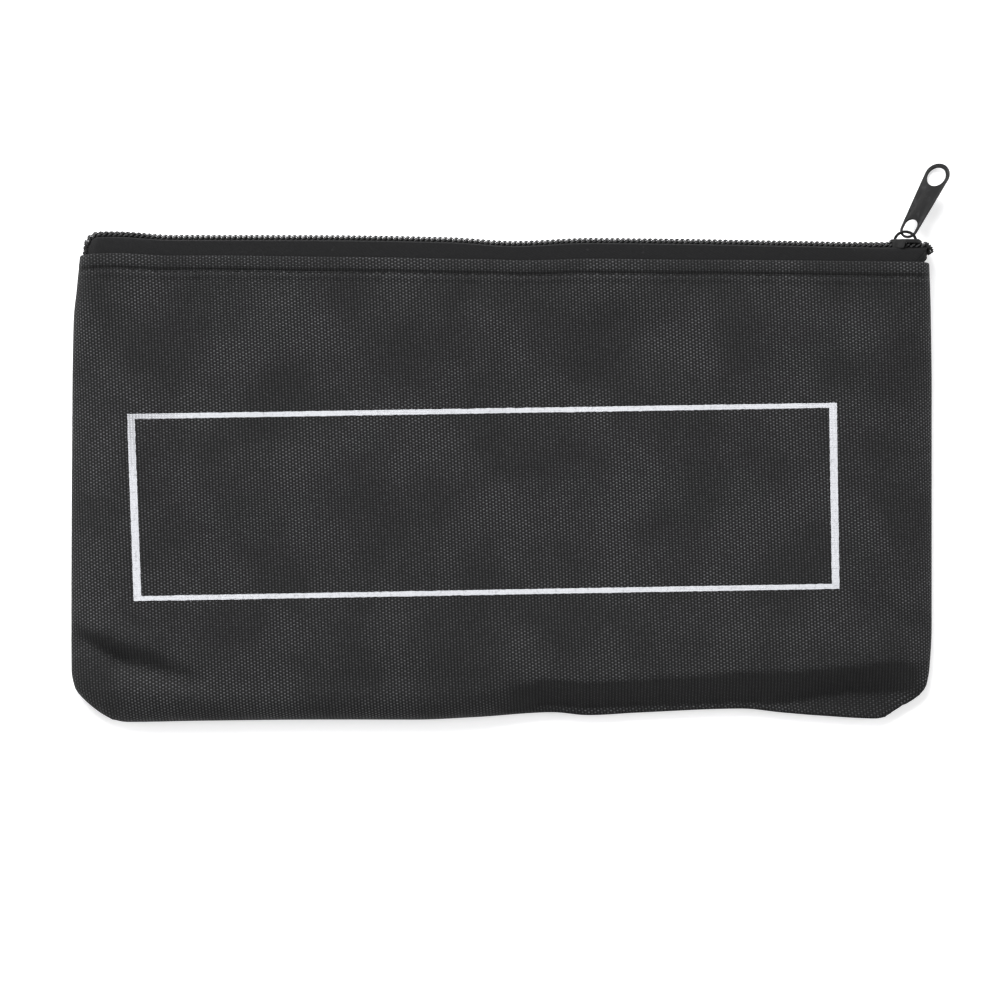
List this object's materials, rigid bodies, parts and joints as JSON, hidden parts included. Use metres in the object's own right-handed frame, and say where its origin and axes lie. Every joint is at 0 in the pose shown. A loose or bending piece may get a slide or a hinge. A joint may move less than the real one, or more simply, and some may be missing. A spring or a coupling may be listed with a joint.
{
  "type": "tool organizer bag",
  "caption": "Flat zipped fabric tool pouch: two woven panels with turned hems, a coil zip along the top, a sliding puller and a swinging pull tab.",
  "frame": {"origin": "middle of the back panel's flat outer face, on the surface that the pouch lies on", "axes": "+X along the zip towards its closed end, +Y from the base up to the zip, +Z out of the printed front panel"},
  "size_m": [0.245, 0.1558, 0.0113],
  "materials": {
    "panel_fabric": "charcoal plain-weave polyester, slight sheen",
    "zip_tape": "black woven zip tape",
    "nylon_coil": "black nylon monofilament, soft gloss",
    "filler_cord": "black spun cord",
    "enamel": "black enamelled zinc"
  },
  "bodies": {
    "pouch": {"front_panel": "panel_fabric", "back_panel": "panel_fabric", "zip_tape_back": "zip_tape", "zip_coil_back": "nylon_coil", "zip_cord_back": "filler_cord"},
    "front_zip_half": {"zip_tape_front": "zip_tape", "zip_coil_front": "nylon_coil", "zip_cord_front": "filler_cord"},
    "slider": {"slider_body": "enamel"},
    "puller": {"pull_tab": "enamel"}
  },
  "joints": [
    {"name": "slider_slide", "type": "slide", "parent": "pouch", "child": "slider", "axis": [1, -0.0083, 0], "range_m": [-0.22, 0], "deforming": ["zip_tape_back", "zip_coil_back", "zip_cord_back"]},
    {"name": "mouth_open", "type": "hinge", "parent": "pouch", "child": "front_zip_half", "pos_m": [0, 0.06118, 0.00972], "axis": [1, -0.0083, 0], "range_deg": [0, 75], "deforming": ["zip_tape_front", "zip_coil_front", "zip_cord_front"]},
    {"name": "pull_tab_swing", "type": "hinge", "parent": "slider", "child": "puller", "pos_m": [0.11262, 0.06733, 0.00565], "axis": [0, 0, 1], "range_deg": [-20, 65]}
  ],
  "couplings": [
    {"joint": "mouth_open", "follows": "slider_slide", "rad_per_m": -5.9499}
  ]
}
